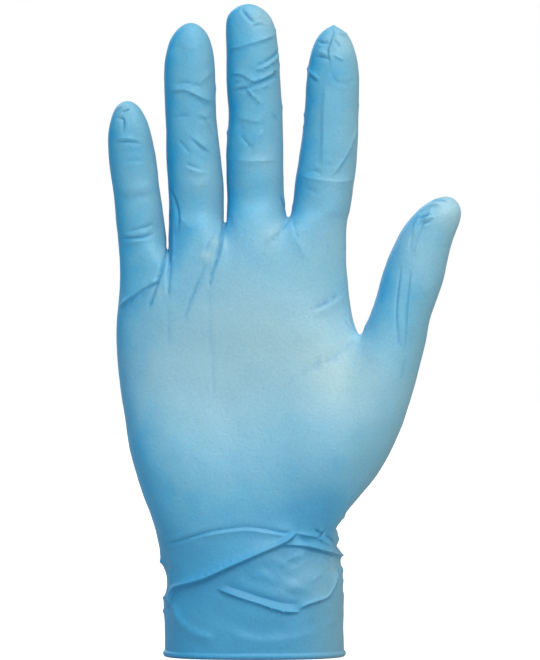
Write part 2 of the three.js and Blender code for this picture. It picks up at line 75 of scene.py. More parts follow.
def sRgb(code):
    # a hex colour as linear values with an alpha of 1
    parts = [int(code[i:i + 2], 16) / 255 for i in (1, 3, 5)]
    return [p / 12.92 if p <= 0.04045 else ((p + 0.055) / 1.055) ** 2.4 for p in parts] + [1]


def addNode(tree, kind, values=None, links=None, **settings):
    node = tree.nodes.new(kind)
    for name, value in settings.items():
        setattr(node, name, value)
    for name, value in (values or {}).items():
        node.inputs[name].default_value = value
    for name, source in (links or {}).items():
        tree.links.new(source, node.inputs[name])
    return node


def addObject(name, mesh):
    thing = bpy.data.objects.new(name, mesh)
    bpy.context.scene.collection.objects.link(thing)
    return thing


# Camera
eye = fromPixel(*photo["middle"]) - Vector((0, photo["distance"], 0))
halfHeight = photo["height"] / 2 / photo["pixelsPerMm"] * mm
camera = addObject("camera", bpy.data.cameras.new("camera"))
camera.location = eye
camera.rotation_euler = (math.pi / 2, 0, 0)
camera.data.sensor_width = photo["sensor"]
camera.data.lens = photo["sensor"] / 2 * photo["distance"] / halfHeight
camera.data.clip_end = photo["clipEnd"]
bpy.context.scene.camera = camera
print("camera placed")

# The film's own sizes
film = {
    "wall": 1.0 * mm,
    "rim": 2.64 * mm,  # where the skins meet the rolled bead
    "rimMargin": 0.1 * mm,
    "plainRim": 2.0 * mm,  # so far above the rim the faces stay as they are, for the bead to join
    "foldFreeRim": 6 * mm,  # over this height above the rim the folds die away
    "mergeGap": 0.004 * mm,
    "smoothLevels": 2,
    "liningLevels": 1,
    "holdRounds": 3,
}


def islandOf(start):
    found, edge = {start}, [start]
    while edge:
        for face in edge.pop().link_faces:
            for vert in face.verts:
                if vert not in found:
                    found.add(vert)
                    edge.append(vert)
    return found


def innerSkin(source):
    # the CAD node's inner skin as four-sided faces that point outwards
    skin = bmesh.new()
    skin.from_mesh(source)
    bmesh.ops.remove_doubles(skin, verts=skin.verts, dist=film["mergeGap"])
    bead = [v for v in skin.verts if v.co.z < film["rim"] - film["rimMargin"]]
    bmesh.ops.delete(skin, geom=bead, context="VERTS")
    islands, left = [], set(skin.verts)
    while left:
        island = islandOf(next(iter(left)))
        left -= island
        islands.append(island)
    islands.sort(key=lambda verts: max(v.co.y for v in verts) - min(v.co.y for v in verts))
    extra = [v for island in islands[1:] for v in island]
    bmesh.ops.delete(skin, geom=extra, context="VERTS")
    diagonals = [e for e in skin.edges if all(len(v.link_edges) > 4 for v in e.verts)]
    bmesh.ops.dissolve_edges(skin, edges=diagonals, use_verts=False)
    bmesh.ops.reverse_faces(skin, faces=skin.faces)
    skin.normal_update()
    return skin


def settledPlace(vert):
    # where endless smooth subdivision would put this point, by the usual weights of its neighbours
    if vert.is_boundary:
        beside = [e.other_vert(vert).co for e in vert.link_edges if e.is_boundary]
        return (4 * vert.co + beside[0] + beside[1]) / 6
    count = len(vert.link_edges)
    total = vert.co * count * count
    for edge in vert.link_edges:
        total += 4 * edge.other_vert(vert).co
    for face in vert.link_faces:
        ring = [v for v in face.verts]
        total += ring[(ring.index(vert) + 2) % len(ring)].co
    return total / (count * (count + 5))


def smoothSkin(grid, offset, levels):
    # the grid moved out by offset and smoothed, with its surface still through the moved points
    skin = grid.copy()
    aims = {v: v.co + v.normal * offset for v in skin.verts}
    for vert, aim in aims.items():
        if vert.is_boundary:
            aim.z = film["rim"]
        vert.co = aim
    for _ in range(film["holdRounds"]):
        moves = [(v, aim - settledPlace(v)) for v, aim in aims.items()]
        for vert, move in moves:
            vert.co += move
    mesh = bpy.data.meshes.new("skin")
    skin.to_mesh(mesh)
    skin.free()
    carrier = addObject("skinCarrier", mesh)
    smooth = carrier.modifiers.new("smooth", "SUBSURF")
    smooth.levels = smooth.render_levels = levels
    shaped = carrier.evaluated_get(bpy.context.evaluated_depsgraph_get()).to_mesh()
    result = bmesh.new()
    result.from_mesh(shaped)
    bpy.data.objects.remove(carrier)
    bpy.data.meshes.remove(mesh)
    for vert in result.verts:
        if vert.is_boundary:
            vert.co.z = film["rim"]
    result.normal_update()
    return result


grid = innerSkin(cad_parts["glove"].data)
odd = sum(len(f.verts) != 4 for f in grid.faces)
print("inner skin:", len(grid.faces), "faces,", odd, "not four-sided")
outer = smoothSkin(grid, film["wall"], film["smoothLevels"])
lining = smoothSkin(grid, 0, film["liningLevels"])
grid.free()
outerTree = BVHTree.FromBMesh(outer)
print("outer skin:", len(outer.faces), "faces; lining:", len(lining.faces))

# Folds, each as (rise, left, right, dip, corners): the crest's height, how far it falls away on each side
# of the way it runs and the depth of the valley at its right foot, all in mm. Corners are photo pixels.
middleFolds = [
    (-0.60, 1.5, 1.2, 0, [(240.5, 8), (244, 13), (249, 18.5), (255, 24)]),
    (0.30, 3.0, 2.0, 0, [(249, 6), (258, 14), (263, 22)]),
    (-0.34, 1.0, 1.0, 0, [(251.5, 28), (256, 25.5), (261, 24.5), (269, 27)]),
    (0.40, 1.6, 1.2, 0.2, [(228, 49), (236, 47.5), (244, 45), (260, 40.5), (277, 34)]),
    (0.20, 1.8, 1.4, 0, [(230, 42), (241, 41), (252, 37)]),
    (-0.50, 1.3, 1.2, 0, [(281, 49), (275, 55), (267, 61), (256, 66.5)]),
    (0.50, 1.4, 1.2, 0.3, [(229.5, 76), (236, 73.5), (243, 74.5), (251, 80), (257, 80.5), (267, 75.5),
                           (280, 67.5)]),
    (0.34, 1.3, 1.2, 0.2, [(253, 70.5), (262, 68.5), (271, 63), (280, 55)]),
    (-0.55, 1.3, 1.3, 0, [(231, 92), (239, 89.5), (247, 88), (256, 84), (267, 80.5), (280, 74)]),
    (0.30, 1.2, 1.2, 0, [(250, 91), (260, 88), (270, 84)]),
    (0.45, 1.2, 1.2, 0.25, [(245, 85), (250, 92), (257, 99.5), (264, 106)]),
    (-0.34, 1.6, 1.6, 0, [(229, 84), (235, 83.5), (241, 81)]),
    (-0.24, 2.3, 2.3, 0, [(231, 114), (237, 122), (242, 131), (241, 146)]),
    (0.36, 2.0, 1.4, 0.15, [(238, 117), (247, 119.5), (256, 121), (266, 119)]),
    (-0.34, 1.2, 1.2, 0, [(271, 113), (275, 117), (278, 123)]),
    (0.36, 1.5, 1.5, 0.15, [(267, 128), (260, 134), (255, 142), (254, 154)]),
    (-0.34, 1.2, 1.4, 0, [(240, 135), (246, 142), (252, 149)]),
    (0.44, 1.9, 1.7, 0, [(233, 158), (244, 161), (259, 161), (279, 160)]),
    (-0.25, 1.6, 1.6, 0, [(229.3, 213), (231.7, 224), (236.5, 233)]),
]
ringFolds = [
    (0.55, 1.7, 1.5, 0.35, [(168, 91.5), (176, 90), (184.2, 89.5), (193, 93), (204, 98.5), (215, 103)]),
    (-0.30, 1.3, 1.3, 0, [(171, 85), (184, 82.5), (196, 85), (206, 89)]),
    (0.34, 2.2, 1.6, 0, [(198, 84), (206, 77), (212, 71)]),
    (-0.26, 1.5, 1.7, 0, [(169, 119.5), (180, 116), (193, 115.5)]),
    (-0.22, 1.5, 1.5, 0, [(193, 117), (205, 119.5), (214, 116)]),
    (0.45, 1.5, 1.6, 0.15, [(200, 110), (208, 121), (213.9, 132), (217.2, 144)]),
    (0.26, 2.6, 1.4, 0.1, [(186, 132), (196, 140), (207, 149), (215, 156)]),
    (-0.34, 1.4, 1.3, 0, [(177, 138), (184, 146.5), (191, 155)]),
    (-0.34, 1.3, 1.4, 0, [(190, 138), (200, 147), (211, 154)]),
    (-0.30, 1.4, 1.4, 0, [(182, 162), (193, 166.5), (205, 171)]),
    (0.34, 1.8, 2.6, 0, [(184, 166), (196, 171), (210, 174)]),
    (0.36, 2.8, 2.4, 0, [(186, 187), (197, 185), (215, 181)]),
    (-0.18, 2.3, 2.3, 0, [(175, 40), (179, 48), (185, 57)]),
    (0.14, 1.8, 1.8, 0, [(183, 44), (191, 48.5), (201, 46)]),
    (-0.55, 1.3, 1.6, 0, [(168.5, 186), (173.5, 197), (177.5, 210), (178.5, 222), (177, 234)]),
    (0.30, 2.0, 1.4, 0, [(178, 213), (184, 222), (191, 229)]),
]
littleFolds = [
    (-0.50, 1.1, 1.2, 0, [(113.6, 117), (118, 118), (123, 119.5), (123.6, 125.8), (122.4, 134)]),
    (0.50, 1.6, 1.4, 0, [(114.5, 112.5), (119.5, 108), (127, 105.5), (132, 107.5)]),
    (-0.45, 0.9, 0.9, 0, [(121, 112.5), (126, 110.8), (131.4, 108.5)]),
    (-0.42, 1.1, 1.4, 0, [(111.5, 143), (121.7, 142.2), (132, 142.2), (144, 144.5)]),
    (0.30, 2.2, 1.2, 0, [(115, 139), (124, 138), (136, 139)]),
    (0.32, 3.4, 3.0, 0, [(116, 191), (132, 189), (157, 187)]),
    (-0.22, 2.4, 2.4, 0, [(116, 199), (132, 198), (156, 195)]),
    (-0.34, 1.5, 1.5, 0, [(124, 233), (134, 230), (146, 227), (156, 223.5)]),
    (-0.55, 1.2, 1.5, 0, [(117.5, 238.8), (130, 238), (143, 236.8), (156, 233)]),
    (0.34, 1.4, 2.6, 0, [(126, 242), (140, 241), (153, 238.5)]),
    (-0.20, 1.6, 1.6, 0, [(120, 163), (133, 160.5), (146, 161.5)]),
    (0.20, 2.4, 2.0, 0, [(140, 118), (145, 135), (149, 155)]),
]
webFolds = [
    (0.80, 2.2, 1.2, 0.50, [(118, 306.5), (124, 303), (132, 296.5), (140, 290), (149, 285), (160, 279)]),
    (0.45, 1.3, 1.1, 0.25, [(130, 303.5), (138, 296), (146, 290.5), (154, 286)]),
    (-0.70, 1.3, 1.4, 0, [(167, 246), (165.5, 257.5), (162.5, 267.5), (157.5, 282.5), (151.5, 301),
                          (147, 311)]),
    (0.25, 1.4, 1.4, 0, [(170, 255), (168, 266), (165, 280), (161.5, 292)]),
    (-0.55, 1.4, 1.4, 0, [(169.5, 206), (171, 235), (170, 260), (168.7, 284), (168, 300)]),
    (0.32, 1.2, 1.4, 0, [(174, 230), (174, 255), (172, 280)]),
    (-0.16, 1.8, 1.8, 0, [(166.5, 300), (168, 316), (168.5, 330.7), (167, 350)]),
    (-0.75, 1.1, 1.3, 0, [(224, 219), (222.5, 231), (219.5, 249), (215.5, 264), (211, 277),
                          (209.5, 289)]),
    (0.48, 1.6, 1.5, 0, [(220, 228), (213, 242), (206.5, 256), (202, 267)]),
    (-0.30, 1.1, 1.1, 0, [(216, 230), (208.5, 243), (203.5, 254)]),
    (0.34, 1.4, 1.6, 0, [(226, 238), (224, 252), (220, 266), (215.5, 279)]),
    (0.25, 1.4, 1.4, 0, [(203.5, 238), (202.5, 252), (199.5, 266)]),
    (-0.40, 1.5, 1.6, 0, [(208, 261), (201.5, 275), (196, 287.5), (191, 300), (186, 314), (182.5, 324)]),
    (-0.14, 1.4, 1.4, 0, [(208.8, 286), (209, 297), (210.5, 312), (210.5, 332), (212, 352), (213, 378),
                          (213.5, 402)]),
    (0.32, 3.0, 3.0, 0, [(286, 222), (276, 232), (263, 243)]),
    (-0.34, 1.3, 1.4, 0, [(290, 217), (283, 229), (274, 238), (262, 248)]),
    (-0.34, 1.3, 1.3, 0, [(292.5, 217), (295.3, 231.4), (301, 243)]),
    (0.34, 1.5, 2.0, 0, [(291, 220), (297, 240), (304, 254), (312, 264)]),
    (-0.55, 1.9, 1.8, 0, [(280.5, 194), (284, 205), (289, 214.5)]),
    (-0.16, 1.6, 1.6, 0, [(327.4, 238), (329.3, 254.3)]),
]
indexFolds = [
    (0.60, 1.1, 1.0, 0.3, [(333.5, 26), (335, 34), (333, 41), (330, 50), (330.5, 57), (332, 64)]),
    (-0.50, 1.3, 1.3, 0, [(317, 41), (323, 43), (330, 42.5)]),
    (0.34, 1.6, 1.2, 0, [(315, 49), (321, 51.5), (328, 53.5)]),
    (-0.60, 1.2, 1.3, 0, [(314.5, 59), (319, 57), (325, 57.5), (331, 61)]),
    (-0.45, 1.3, 1.2, 0, [(333.5, 39), (337, 43), (341, 49)]),
    (0.40, 1.4, 1.1, 0.2, [(335.5, 31), (341, 33.5), (348, 36)]),
    (0.36, 1.4, 1.1, 0.2, [(333, 54), (338, 57.5), (345, 60)]),
    (-0.45, 1.2, 1.4, 0, [(308, 74), (312, 78), (319, 83.5)]),
    (0.36, 1.5, 1.2, 0, [(308, 69), (313, 74), (321, 80)]),
    (-0.22, 1.3, 1.3, 0, [(330, 70), (337, 82), (347, 83), (356, 76)]),
    (0.30, 4.0, 1.3, 0.12, [(326, 84), (324.5, 100), (323.5, 125), (323, 150), (322.5, 170)]),
    (0.40, 1.5, 1.2, 0.2, [(330, 178), (337, 169), (345, 157), (352, 143), (358, 126)]),
    (-0.28, 1.5, 1.5, 0, [(301, 173), (310, 170.5), (318, 172), (324, 177)]),
    (-0.16, 1.4, 1.4, 0, [(322, 163), (328, 164.5), (335, 166)]),
    (0.45, 1.9, 2.2, 0, [(300, 176), (315, 179), (336, 181.5), (356, 179)]),
    (-0.22, 1.6, 1.6, 0, [(300, 186), (311, 190), (321, 195)]),
    (-0.34, 2.0, 1.7, 0, [(308, 311), (318, 307.5), (328, 302.5), (336, 297), (345, 290)]),
    (0.24, 1.7, 2.4, 0, [(312, 314), (326, 308), (336, 302.5), (348, 296)]),
]
thumbFolds = [
    (-0.26, 1.1, 1.1, 0, [(343, 318), (348, 325), (352, 331)]),
    (-0.30, 1.2, 1.2, 0, [(349, 318), (353, 325), (356, 333)]),
    (0.24, 1.2, 1.2, 0, [(340, 322), (347, 329), (351, 336)]),
    (-0.25, 1.7, 1.7, 0, [(356, 337.5), (345, 349), (332.5, 357.5), (315, 365), (285, 382.5)]),
    (-0.60, 1.2, 1.2, 0, [(429, 205), (435, 201.5), (442, 200.5), (450, 203)]),
    (0.45, 1.5, 1.3, 0.2, [(420, 213), (427, 207), (436, 204.5), (446, 206)]),
    (-0.55, 1.2, 1.2, 0, [(416.5, 221), (424, 216.5), (433, 214)]),
    (0.34, 1.3, 1.2, 0.1, [(420, 222), (428, 218), (437, 216.5)]),
    (-0.40, 1.1, 1.1, 0, [(420, 226.5), (426, 223), (433, 220)]),
    (0.34, 1.5, 1.3, 0.12, [(433, 206), (427, 220), (420, 238), (414, 258)]),
    (0.26, 1.6, 1.3, 0.1, [(427, 207), (417, 222), (409, 240)]),
    (-0.36, 0.8, 1.0, 0, [(401, 264), (399, 282), (397, 300), (396.5, 320), (399, 340), (406, 354)]),
    (0.22, 1.3, 1.3, 0, [(404.5, 268), (402, 290), (400.5, 315), (402, 338)]),
    (-0.32, 0.8, 1.0, 0, [(411, 268), (408.5, 290), (407, 310), (406.5, 330), (405.5, 356)]),
    (0.20, 1.2, 1.6, 0, [(413.5, 272), (411, 292), (409.5, 316), (409, 340)]),
    (-0.20, 1.2, 1.2, 0, [(416, 218), (412, 235), (410, 256)]),
    (-0.20, 1.4, 1.4, 0, [(406, 352), (404, 368), (399, 388)]),
    (-0.18, 1.4, 1.4, 0, [(418, 290), (424, 296), (429, 298)]),
]
palmFolds = [
    (-0.12, 7, 8, 0, [(150, 400), (175, 388), (205, 392), (240, 410)]),
    (-0.12, 7, 7, 0, [(264.2, 483.7), (286.6, 502.4), (295.9, 521)]),
    (-0.20, 3, 3, 0, [(137.3, 485.6), (155, 489), (178.4, 488.4)]),
    (0.20, 6, 6, 0, [(190, 455), (225, 470), (262, 468)]),
]
cuffFolds = [
    (-0.42, 1.3, 1.1, 0, [(162, 545.5), (178, 541), (193, 536.5), (210, 531.5), (230, 528.5),
                          (247, 527), (265, 529), (283, 532.5), (297, 532)]),
    (0.34, 1.2, 3.0, 0, [(200, 538.5), (212, 535), (232, 532), (250, 531), (272, 534), (290, 536)]),
    (1.90, 10, 1.15, 0.60, [(170, 606), (172, 596), (177, 587.5), (192, 583), (207, 578), (233, 565.5),
                            (260, 553.5), (283, 543), (298, 531.5)]),
    (0.34, 1.3, 0.8, 0, [(177, 586.5), (192, 582), (207, 577), (233, 564.5), (260, 552.5), (283, 542),
                         (298, 530.5)]),
    (1.20, 2.6, 1.1, 0.50, [(280, 544.5), (293, 545), (307, 546.5), (324, 551), (344, 557)]),
    (0.55, 1.8, 1.2, 0.2, [(294, 533), (306, 535), (318, 538), (334, 548)]),
    (-0.60, 1.1, 1.1, 0, [(314, 529), (321.5, 534.5)]),
    (-0.60, 1.1, 1.1, 0, [(327, 529), (321.5, 534.5), (316, 540)]),
    (-0.45, 1.0, 1.0, 0, [(321.5, 530), (321, 547)]),
    (-0.60, 1.2, 1.0, 0, [(324, 535), (331, 539), (336.5, 546)]),
    (-0.40, 1.4, 1.4, 0, [(296, 536.5), (306, 540), (316, 541)]),
    (0.95, 1.1, 1.0, 0.45, [(214, 587.5), (226, 592), (240, 597.5), (259, 603.5), (272, 608),
                            (286, 611.5), (303, 612)]),
    (-0.50, 2.6, 2.0, 0, [(222, 584), (240, 590), (262, 597.5), (284, 603), (301, 604)]),
    (0.95, 1.4, 1.4, 0.40, [(296, 612), (304, 605.5), (314, 601.5), (326, 597), (332, 589), (336, 578),
                            (337, 568)]),
    (0.50, 3.4, 2.6, 0, [(296, 566), (307, 557), (322, 560), (333, 568)]),
    (-0.34, 3.0, 3.4, 0, [(272, 584), (290, 578), (303, 566)]),
    (-0.70, 3.2, 3.4, 0, [(302, 551), (318, 556), (335, 564)]),
    (0.45, 3.2, 3.2, 0, [(256, 571), (277, 578), (296, 588), (312, 597)]),
    (-0.34, 2.8, 2.8, 0, [(240, 576), (262, 585), (283, 592)]),
    (-0.34, 2.4, 2.4, 0, [(284, 597), (296, 593), (310, 594)]),
    (0.30, 2.0, 1.6, 0, [(281, 566), (288, 560), (296, 556)]),
    (0.30, 2.2, 2.0, 0, [(308, 584), (316, 578), (325, 571)]),
    (0.36, 2.3, 2.2, 0, [(266, 556), (279, 562), (291, 573)]),
    (0.30, 2.2, 2.2, 0, [(288, 561), (299, 555.5), (311, 549)]),
    (-0.36, 2.2, 2.2, 0, [(286, 567), (297, 561), (309, 556)]),
    (0.36, 1.8, 2.2, 0, [(317, 556), (326, 562), (329, 573)]),
    (-0.32, 2.4, 2.4, 0, [(256, 563), (270, 572), (283, 584)]),
    (0.45, 3, 2, 0, [(172, 552), (171.5, 570), (173, 588)]),
    (-0.50, 1.6, 1.4, 0, [(164, 596), (169, 606), (176, 616)]),
    (0.70, 2.4, 4.0, 0, [(173, 600), (179, 618), (194, 632), (216, 641)]),
    (-0.32, 5.0, 4.0, 0, [(206, 606), (232, 622), (262, 630), (292, 629)]),
    (0.40, 3.0, 5.0, 0, [(228, 634), (262, 643), (300, 638), (322, 626)]),
    (0.55, 2.2, 2.6, 0, [(326, 600), (332, 614), (331, 632)]),
    (-0.30, 3.5, 3.5, 0, [(306, 616), (314, 628), (312, 642)]),
]
# The photograph doesn't show the back: these are folds as a worn glove has there. Their corners are at the
# pixels where the back would show if the glove were clear.
backFolds = [
    (0.80, 9, 1.1, 0.45, [(340, 590), (318, 571), (286, 559), (250, 556), (214, 561), (186, 572)]),
    (-0.45, 2.0, 2.0, 0, [(334, 560), (300, 545), (262, 540), (222, 543)]),
    (0.70, 2.4, 3.0, 0.25, [(180, 603), (206, 612), (240, 617), (282, 612), (316, 601)]),
    (-0.50, 3.0, 2.4, 0, [(190, 588), (222, 597), (262, 598), (300, 590)]),
    (0.50, 3.0, 3.0, 0, [(176, 632), (206, 640), (250, 642), (296, 634), (330, 622)]),
    (0.40, 2.0, 1.4, 0.15, [(172, 540), (190, 529), (214, 525), (240, 527)]),
    (-0.34, 1.6, 1.6, 0, [(332, 530), (310, 524), (286, 525)]),
    (-0.55, 1.8, 1.8, 0, [(166, 258), (164, 276), (160, 296), (157, 318)]),
    (-0.60, 1.9, 1.9, 0, [(223, 232), (221, 254), (218, 276), (215, 300)]),
    (-0.60, 1.9, 1.9, 0, [(288, 226), (290, 246), (293, 268), (296, 292)]),
    (-0.34, 2.4, 2.4, 0, [(352, 328), (338, 344), (326, 366), (318, 392)]),
    (-0.30, 2.0, 2.0, 0, [(361, 344), (350, 362), (344, 386)]),
    (0.30, 2.6, 2.6, 0, [(131, 297), (150, 290), (168, 289)]),
    (0.34, 2.2, 1.6, 0.12, [(230, 158), (246, 153), (262, 154), (280, 160)]),
    (-0.28, 1.2, 1.2, 0, [(232, 168), (248, 163), (266, 164), (280, 169)]),
    (0.24, 1.6, 1.4, 0.1, [(233, 147), (250, 144), (268, 146)]),
    (0.34, 2.2, 1.6, 0.12, [(176, 180), (190, 175), (204, 176), (216, 182)]),
    (-0.28, 1.2, 1.2, 0, [(177, 190), (192, 185), (206, 186), (216, 191)]),
    (0.34, 2.2, 1.6, 0.12, [(302, 180), (316, 174), (334, 175), (352, 182)]),
    (-0.28, 1.2, 1.2, 0, [(301, 190), (318, 185), (336, 186), (351, 191)]),
    (0.30, 2.0, 1.5, 0.1, [(126, 208), (138, 203), (152, 204)]),
    (-0.24, 1.1, 1.1, 0, [(128, 216), (140, 212), (153, 213)]),
    (-0.28, 1.2, 1.2, 0, [(230, 92), (246, 88), (262, 89), (277, 93)]),
    (-0.26, 1.2, 1.2, 0, [(172, 104), (188, 100), (204, 101)]),
    (-0.26, 1.2, 1.2, 0, [(314, 92), (330, 88), (350, 91)]),
    (-0.30, 1.2, 1.2, 0, [(398, 262), (410, 259), (424, 263)]),
    (0.26, 1.8, 1.4, 0.1, [(396, 252), (410, 248), (427, 253)]),
    (-0.24, 6, 6, 0, [(185, 330), (192, 370), (205, 420)]),
    (-0.24, 6, 6, 0, [(262, 320), (258, 370), (250, 420)]),
]
# Small folds that run round a side, as (column, row, rise, half width and reach to front and back in mm)
sideFolds = [
    (162.0, 561, 1.0, 2.0, 9), (165.0, 598, 0.9, 2.0, 8), (163.0, 611, 0.6, 1.8, 7),
    (344.0, 518, 0.8, 1.5, 6), (339.0, 528, -0.6, 1.6, 7), (337.0, 538, 0.5, 1.4, 6),
    (343.0, 555.4, 1.4, 1.6, 8), (339.0, 546, -0.7, 1.6, 7), (343.5, 568.8, 0.9, 2.4, 9),
    (341.0, 588, -0.5, 3.0, 9), (274.9, 31, 0.4, 1.2, 4), (279.1, 65, 0.4, 1.3, 4),
    (226.2, 133.2, 0.4, 1.3, 4), (282.0, 107, 0.3, 1.2, 4), (215.8, 88.4, 0.45, 1.6, 4),
    (306.0, 69, 0.5, 1.3, 4), (302.5, 115, 0.35, 1.4, 4), (301.0, 127, 0.25, 1.2, 4),
    (333.5, 26, 0.7, 1.3, 3), (347.0, 34, 0.4, 1.1, 3), (239.0, 7, 0.35, 1.3, 3),
    (361.0, 106, 0.25, 2.0, 4), (113.0, 142, -0.3, 1.3, 4), (434.0, 281, 0.3, 3.0, 6),
    (419.0, 348, 0.3, 3.0, 6),
]
foldShape = {
    "step": 2.0,  # pixels between the points of a run
    "sideSteps": 13,  # points of a fold that runs round a side
    "sideRounds": 3,  # tries to find the side's own depth
    "endShare": 0.38,  # how much of a run its ends take to rise, at the most
    "endMm": 4.5,  # and in mm
    "narrow": 2.1,  # mm: a side this narrow makes a crisp crest and gets finer faces
    "pinch": 0.78,  # and is drawn this much narrower than its table says
    "fineFrom": 0.26,  # mm: lower folds, and those on the back, do without the finer faces
    "broad": 1.7,  # mm: beyond this the smooth skin's faces are fine enough
    "margin": 0.1,
    "crispReach": 0.85,  # how far the second pass of faces reaches, in widths of the narrower side
    "steep": 0.8,  # rise over width from which a fold's edge gets a third pass of faces
    "steepReach": 1.9,  # how far that pass reaches
    "skirt": 0.45,  # a crisp ridge also swells the film about it, by this share of its height
    "skirtWidth": 2.6,  # and over this many times its width
    "shoulder": 0.38,  # a crisp groove raises the film beside it, by this share of its depth
    "shoulderPlace": 1.4,  # so many widths from its middle
    "shoulderWidth": 1.1,
    "footEnd": 1.9,  # where the valley at the right foot ends, in widths of that side
    "footWidth": 0.9,
    "wobble": 0.18,  # how much a crest's height comes and goes along its run
    "wobbleTurns": 9,
    "wobbleStep": 2.4,  # sets one fold's rhythm off from the next one's
    "creaseShadeDepth": 0.5,  # mm: a valley this deep gets all of the painted shade in the folds
    "broadCreaseShade": 0.25,  # a broad one gets this share of it
    "softenRounds": 2,
    "softenReach": 3,  # in widths of the narrower side
    "softenFactor": 0.5,
}
leastSquare = 1e-14  # keeps a step of no length from dividing by nothing


def smoothRun(corners, step):
    # a run of even small steps along the usual smooth curve through the corners
    corners = [Vector(c) for c in corners]
    ends = [2 * corners[0] - corners[1], *corners, 2 * corners[-1] - corners[-2]]
    run = []
    for before, start, stop, after in zip(ends, ends[1:], ends[2:], ends[3:]):
        count = max(2, round((stop - start).length / step))
        for k in range(count):
            t = k / count
            run.append((2 * start + (stop - before) * t + (2 * before - 5 * start + 4 * stop - after) * t * t
                        + (3 * start - before - 3 * stop + after) * t ** 3) / 2)
    return run + [corners[-1]]


def ontoGlove(place, viewer):
    hit = outerTree.ray_cast(viewer, (place - viewer).normalized())[0]
    return hit if hit is not None else outerTree.find_nearest(place)[0]


def laidFold(fold, viewer):
    rise, left, right, dip, corners = fold
    if left <= foldShape["narrow"]:
        left *= foldShape["pinch"]
    if right <= foldShape["narrow"]:
        right *= foldShape["pinch"]
    run = [ontoGlove(fromPixel(*p), viewer) for p in smoothRun(corners, foldShape["step"])]
    fine = viewer is eye and abs(rise) >= foldShape["fineFrom"]
    return {"rise": rise * mm, "left": left * mm, "right": right * mm, "dip": dip * mm,
            "run": np.array(run), "fine": fine}


def sideFold(fold):
    column, row, rise, halfWidth, reach = fold
    place = fromPixel(column, row)
    for _ in range(foldShape["sideRounds"]):
        place.y = outerTree.find_nearest(place)[0].y
    away = [Vector((0, y * mm, 0)) for y in np.linspace(-reach, reach, foldShape["sideSteps"])]
    run = [outerTree.find_nearest(place + step)[0] for step in away]
    return {"rise": rise * mm, "left": halfWidth * mm, "right": halfWidth * mm, "dip": 0,
            "run": np.array(run), "fine": False}


behind = Vector((eye.x, -eye.y, eye.z))
frontTables = (middleFolds, ringFolds, littleFolds, webFolds, indexFolds, thumbFolds, palmFolds, cuffFolds)
folds = [laidFold(f, eye) for table in frontTables for f in table]
folds += [laidFold(f, behind) for f in backFolds]
folds += [sideFold(f) for f in sideFolds]
print("folds laid:", len(folds))


def awayFrom(places, run):
    # how far each place is from the run, which way, and how far along the run its nearest point lies
    start, along = run[:-1], run[1:] - run[:-1]
    size = np.maximum((along ** 2).sum(1), leastSquare)
    reach = places[:, None, :] - start[None]
    t = np.clip((reach * along[None]).sum(2) / size[None], 0, 1)
    offset = reach - t[:, :, None] * along[None]
    far = np.sqrt((offset ** 2).sum(2))
    best = far.argmin(1)
    rows = np.arange(len(places))
    return far[rows, best], offset[rows, best], along[best], (best + t[rows, best]) / len(start)


def nearRun(places, run, reach):
    low, high = run.min(0) - reach, run.max(0) + reach
    return np.flatnonzero(((places > low) & (places < high)).all(1))


def besideFolds(places, folds, reachOf):
    # marks the places that lie within a fold's reach of its run
    marked = np.zeros(len(places), bool)
    for fold in folds:
        reach = reachOf(fold)
        if reach <= 0:
            continue
        near = nearRun(places, fold["run"], reach)
        if len(near):
            marked[near[awayFrom(places[near], fold["run"])[0] < reach]] = True
    return marked


def refine(mesh, folds, reachOf):
    # halves the faces beside the folds
    places = np.array([v.co for v in mesh.verts])
    marked = besideFolds(places, folds, reachOf)
    marked &= places[:, 2] > film["rim"] + film["plainRim"]
    mesh.verts.index_update()
    edges = [e for e in mesh.edges if marked[e.verts[0].index] and marked[e.verts[1].index]]
    bmesh.ops.subdivide_edges(mesh, edges=edges, cuts=1, use_grid_fill=True, smooth=1.0)
    mesh.normal_update()


def narrower(fold):
    return min(fold["left"], fold["right"])


def isCrisp(fold):
    return narrower(fold) <= foldShape["narrow"] * mm


def isSteep(fold):
    return fold["rise"] > foldShape["steep"] * narrower(fold)


def middleReach(fold):
    widest = max(fold["left"], fold["right"])
    return min(widest, foldShape["broad"] * mm) + foldShape["margin"] * mm


def crispReach(fold):
    return foldShape["crispReach"] * narrower(fold) if isCrisp(fold) and fold["fine"] else 0


def steepReach(fold):
    return foldShape["steepReach"] * narrower(fold) if isSteep(fold) and fold["fine"] else 0


def softenReach(fold):
    return foldShape["softenReach"] * narrower(fold) if isSteep(fold) else 0


for reachOf in (middleReach, crispReach, steepReach):
    refine(outer, folds, reachOf)
print("refined:", sum(len(f.verts) - 2 for f in outer.faces), "triangles")

# Slow unevenness of a thin film over a hand, as (size of a swelling, height) in mm
unevenness = [(26, 0.30), (9, 0.25), (4.6, 0.085)]
# Painted shade: below this height the film is coloured darker, more so towards the cuff
looseCuff = {"from": 60 * mm, "over": 22 * mm}


def bell(share):
    # 1 in the middle, falling softly to 0 at a share of 1
    return np.clip(1 - share ** 2, 0, None) ** 2


